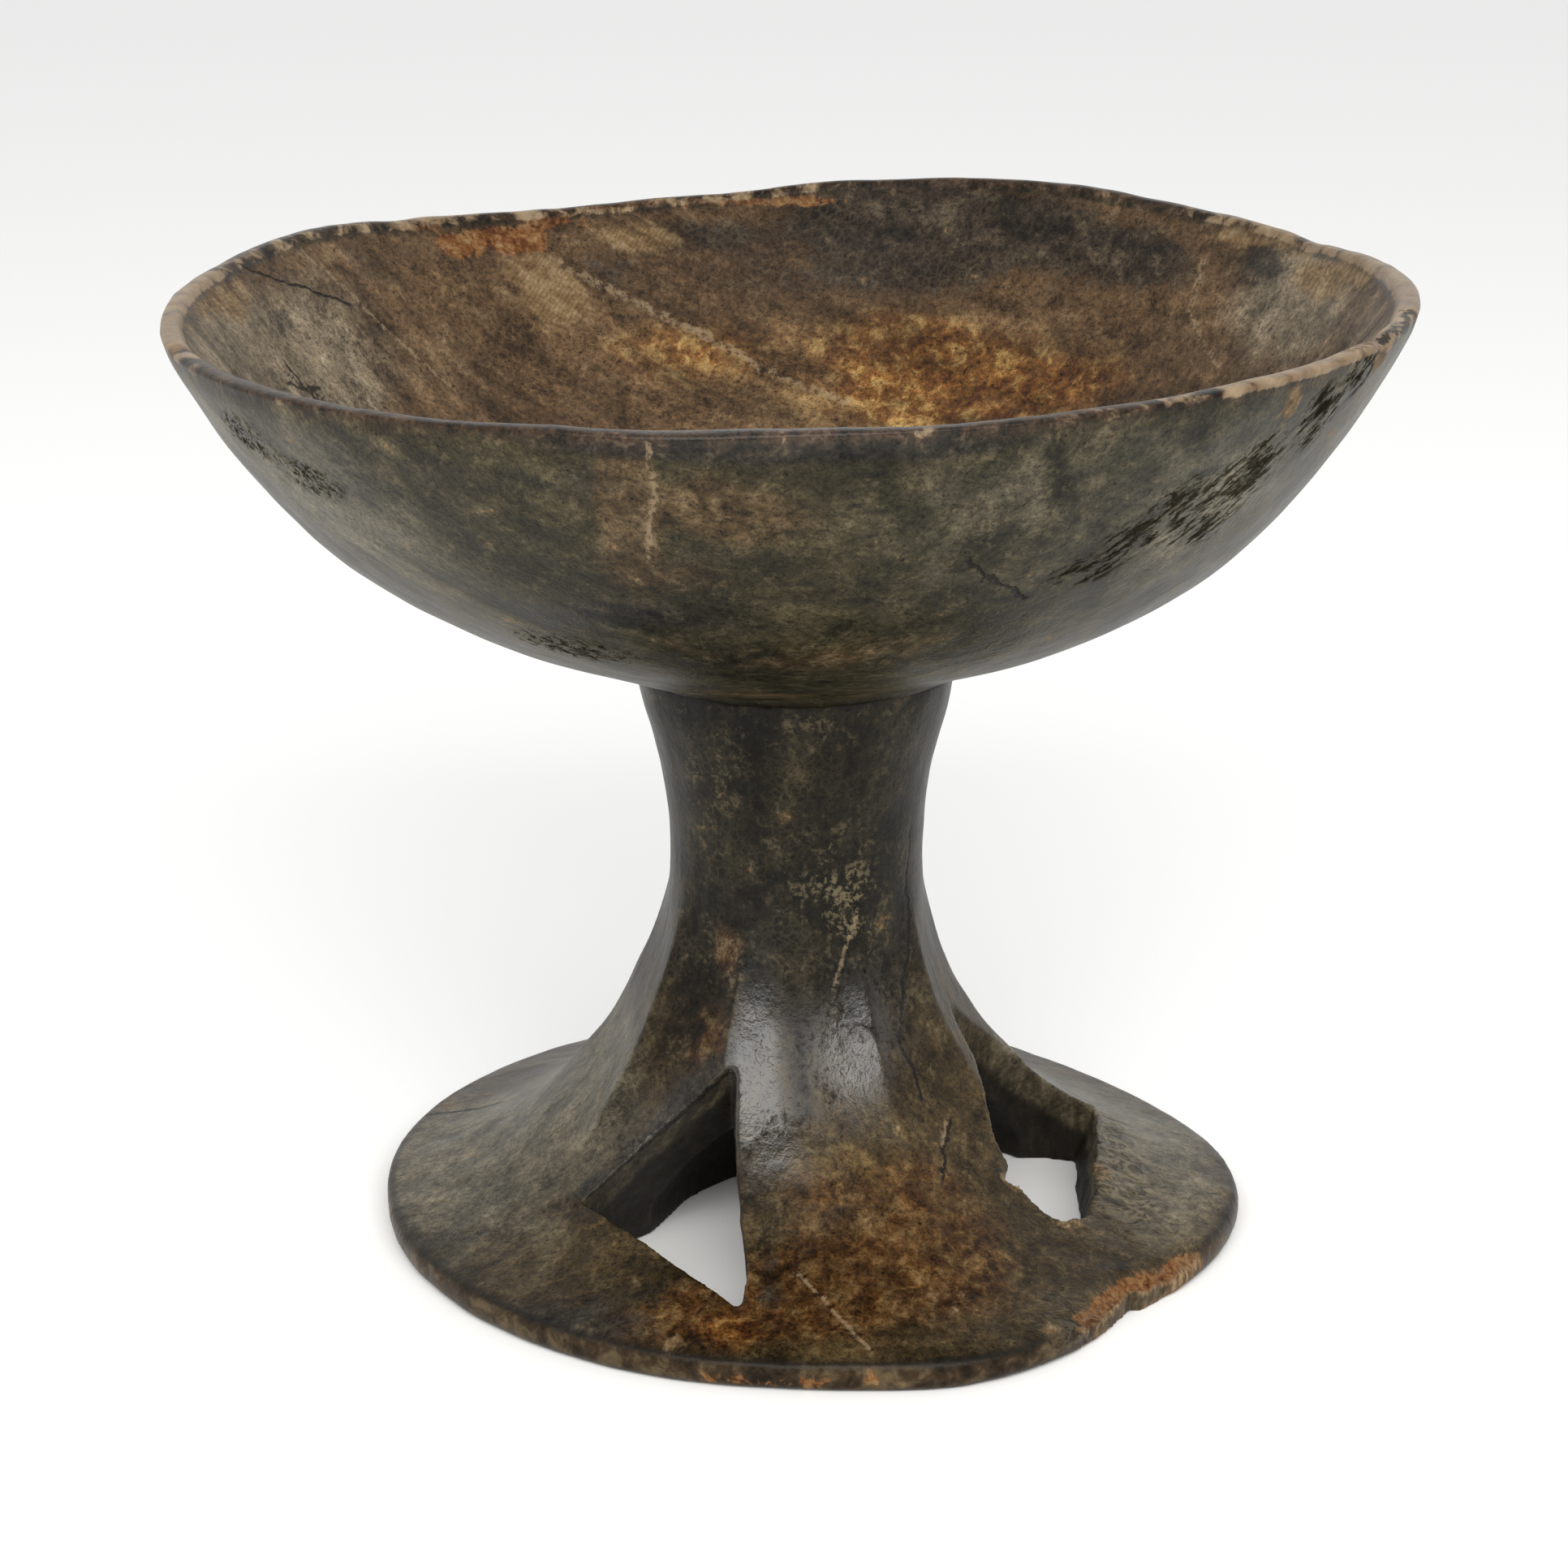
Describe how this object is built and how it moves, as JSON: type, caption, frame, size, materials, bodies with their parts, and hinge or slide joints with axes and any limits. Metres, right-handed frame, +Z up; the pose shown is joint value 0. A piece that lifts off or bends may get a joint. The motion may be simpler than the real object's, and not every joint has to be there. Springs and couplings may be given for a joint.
{
  "type": "pedestal bowl",
  "caption": "Open round bowl on a waisted stem and a flared foot, carved from one block of dark wood; the foot is hollow underneath and pierced by three-sided windows.",
  "frame": {"origin": "on the floor, under the middle of the bowl's rim (the foot's own centre is 8 mm away, towards +X and -Y, because the carving leans)", "axes": "+Z up through the stem; -Y towards the side with the broad closed panel between two windows; +X to the right of that view"},
  "size_m": [0.3764, 0.3764, 0.3062],
  "materials": {
    "bowl_wood": "dark worn patina, satin",
    "stem_wood": "dark worn patina, satin",
    "foot_wood": "dark worn patina, satin"
  },
  "bodies": {
    "root": {"bowl": "bowl_wood", "stem": "stem_wood", "foot": "foot_wood"}
  },
  "joints": []
}
